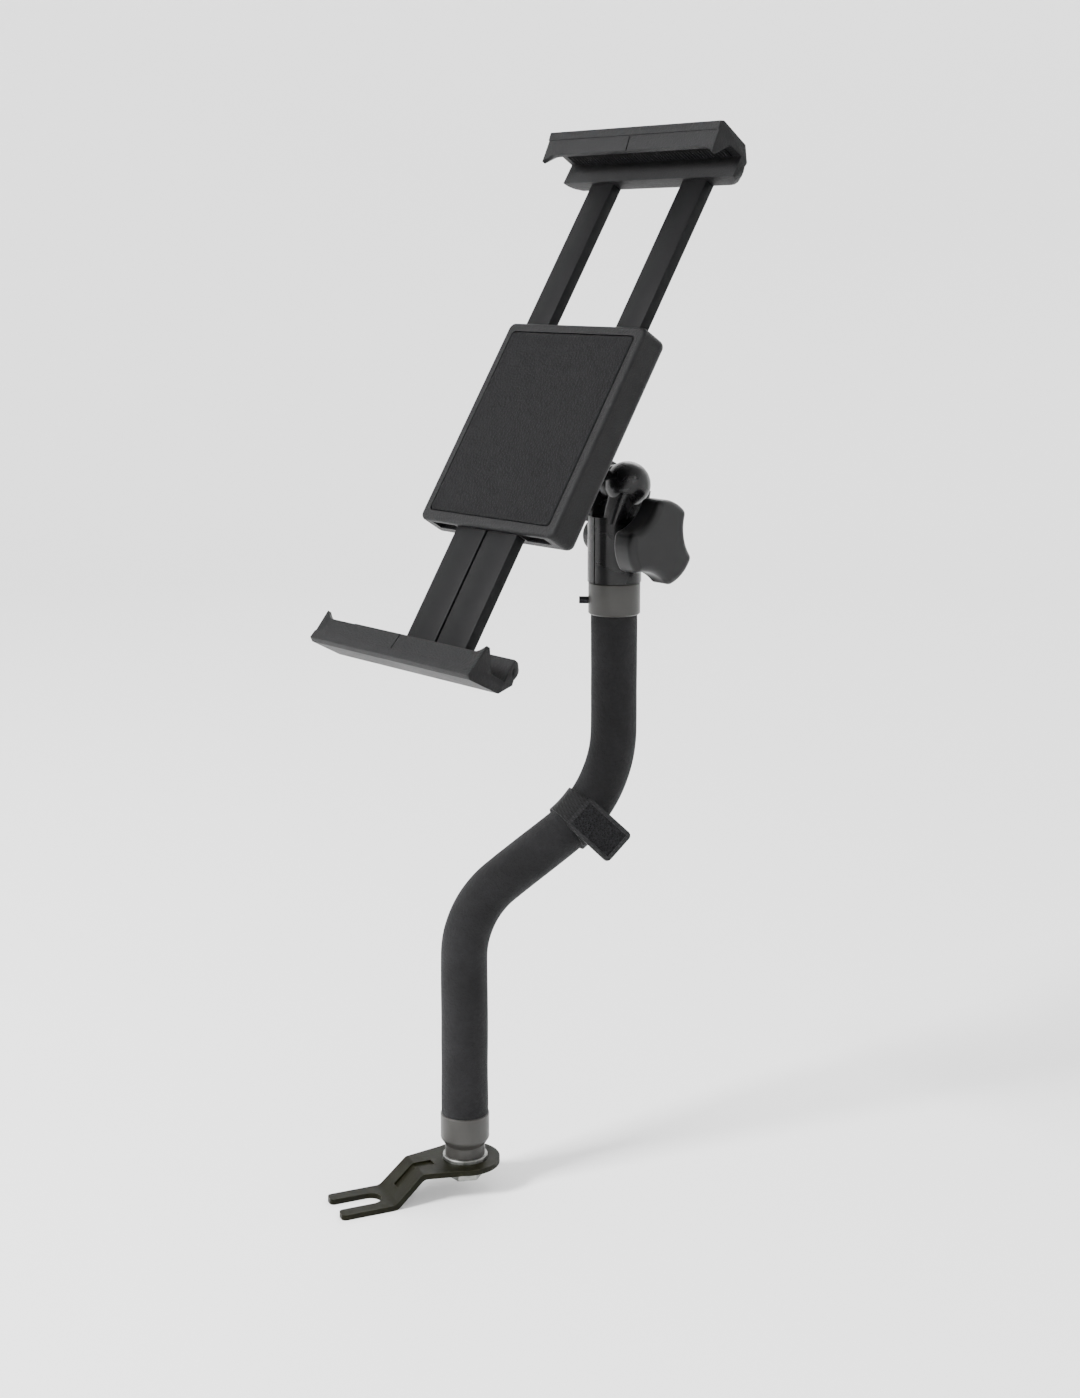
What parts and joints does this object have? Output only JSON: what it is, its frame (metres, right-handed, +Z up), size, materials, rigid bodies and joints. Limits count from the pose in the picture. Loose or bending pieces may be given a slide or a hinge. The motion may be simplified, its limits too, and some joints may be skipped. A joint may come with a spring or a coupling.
{
  "type": "seat bolt tablet mount",
  "caption": "Tablet mount for a car: a forked foot for a seat bolt, an S-bent padded pole, a ball clamp with a lobed knob, and a leaning holder with sliding hooked jaws.",
  "frame": {"origin": "on the underside of the fork's tines, on the axis of the seat bolt when it sits in the slot's round end", "axes": "+Z up along the seat bolt and the pole's upright ends; +X to the right of someone who looks at the tablet; the holder faces -Y and up"},
  "size_m": [0.132, 0.1945, 0.5735],
  "materials": {
    "fork_paint": "satin olive black",
    "bright_steel": "bright zinc",
    "collar_grey": "satin grey",
    "tube_black": "satin black",
    "sleeve_black": "soft matte",
    "strap_black": "woven",
    "dark_screw": "black oxide",
    "clamp_black": "gloss black",
    "knob_black": "semi-gloss black",
    "spring_steel": "plain",
    "housing_black": "fine texture",
    "pad_black": "soft matte",
    "rail_black": "satin black"
  },
  "bodies": {
    "bracket": {"fork_bracket": "fork_paint", "base_bolt": "bright_steel", "lock_washer": "bright_steel", "base_washer": "bright_steel", "base_nut": "bright_steel"},
    "pole": {"base_foot": "collar_grey", "pole_tube": "tube_black", "pole_sleeve": "sleeve_black", "cable_strap": "strap_black", "top_collar": "collar_grey", "collar_screw": "dark_screw"},
    "clamp": {"swivel_post": "dark_screw", "clamp_half_right": "clamp_black", "clamp_half_left": "clamp_black", "clamp_bolt": "dark_screw", "clamp_spring": "spring_steel", "knob_washer": "dark_screw"},
    "knob": {"clamp_knob": "knob_black", "knob_nut": "bright_steel"},
    "stud": {"ball_stud": "clamp_black"},
    "holder": {"swivel_ring": "housing_black", "swivel_screws": "dark_screw", "holder_back": "housing_black", "holder_front": "housing_black", "holder_pad": "pad_black", "housing_screws": "dark_screw", "upper_detent_left": "spring_steel", "upper_detent_right": "spring_steel", "lower_detent_left": "spring_steel", "lower_detent_right": "spring_steel"},
    "upper_arm": {"upper_rail_left": "rail_black", "upper_rail_right": "rail_black", "upper_jaw": "housing_black", "upper_jaw_pad": "pad_black", "upper_jaw_screws": "dark_screw"},
    "lower_arm": {"lower_rail_left": "rail_black", "lower_rail_right": "rail_black", "lower_jaw": "housing_black", "lower_jaw_pad": "pad_black", "lower_jaw_screws": "dark_screw"}
  },
  "joints": [
    {"name": "pole_swivel", "type": "hinge", "parent": "bracket", "child": "pole", "pos_m": [0.0159, 0.05265, 0.019], "axis": [0, 0, 1], "continuous": true},
    {"name": "arm_swivel", "type": "hinge", "parent": "pole", "child": "clamp", "pos_m": [0.04162, 0.13785, 0.32974], "axis": [0, 0, 1], "continuous": true},
    {"name": "knob_turn", "type": "hinge", "parent": "clamp", "child": "knob", "pos_m": [0.07162, 0.13785, 0.35394], "axis": [1, 0, 0], "continuous": true},
    {"name": "ball_tilt", "type": "hinge", "parent": "clamp", "child": "stud", "pos_m": [0.04162, 0.13785, 0.38334], "axis": [1, 0, 0], "range_deg": [-50, 32]},
    {"name": "holder_turn", "type": "hinge", "parent": "stud", "child": "holder", "pos_m": [0.04162, 0.13785, 0.38334], "axis": [0, -0.848, 0.5299], "continuous": true},
    {"name": "upper_jaw_slide", "type": "slide", "parent": "holder", "child": "upper_arm", "axis": [0, 0.5299, 0.848], "range_m": [-0.088, 0]},
    {"name": "lower_jaw_slide", "type": "slide", "parent": "holder", "child": "lower_arm", "axis": [0, -0.5299, -0.848], "range_m": [-0.062, 0.026]}
  ]
}
